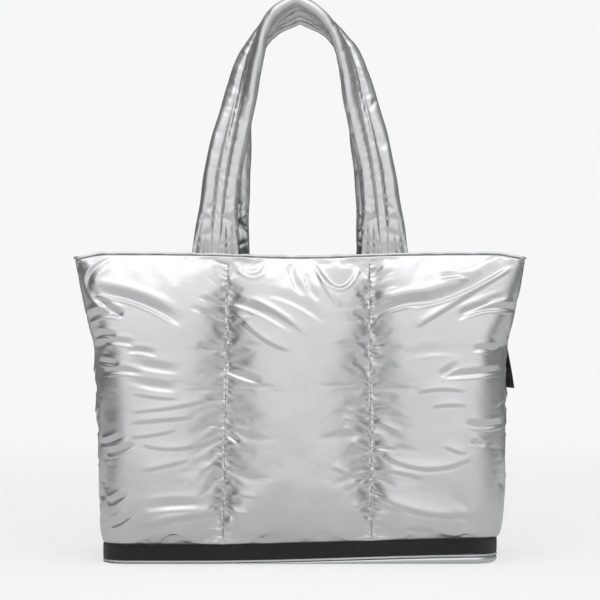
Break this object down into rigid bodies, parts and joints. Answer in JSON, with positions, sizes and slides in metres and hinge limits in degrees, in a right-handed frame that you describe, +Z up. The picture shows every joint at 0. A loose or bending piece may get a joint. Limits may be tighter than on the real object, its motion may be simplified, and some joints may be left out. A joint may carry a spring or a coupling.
{
  "type": "laptop tote",
  "caption": "Padded tote bag with stitched columns, a banded foot, folded-in sides and soft tubular carrying handles that stand up over an open mouth.",
  "frame": {"origin": "middle of the flat base, on the surface that the bag stands on", "axes": "+Z up, pictured front face towards -Y, +X to the right of that face"},
  "size_m": [0.4448, 0.1817, 0.5574],
  "materials": {
    "silver_nylon": "metallic coated nylon, satin sheen",
    "silver_piping": "metallic coated nylon over a cord",
    "black_webbing": "woven black webbing"
  },
  "bodies": {
    "root": {"front_panel": "silver_nylon", "back_panel": "silver_nylon", "right_gusset": "silver_nylon", "left_gusset": "silver_nylon", "top_hem": "silver_nylon", "base_band": "black_webbing", "base_piping": "silver_piping", "base_panel": "silver_nylon", "front_handle": "silver_nylon", "back_handle": "silver_nylon", "side_tab": "black_webbing"}
  },
  "joints": []
}
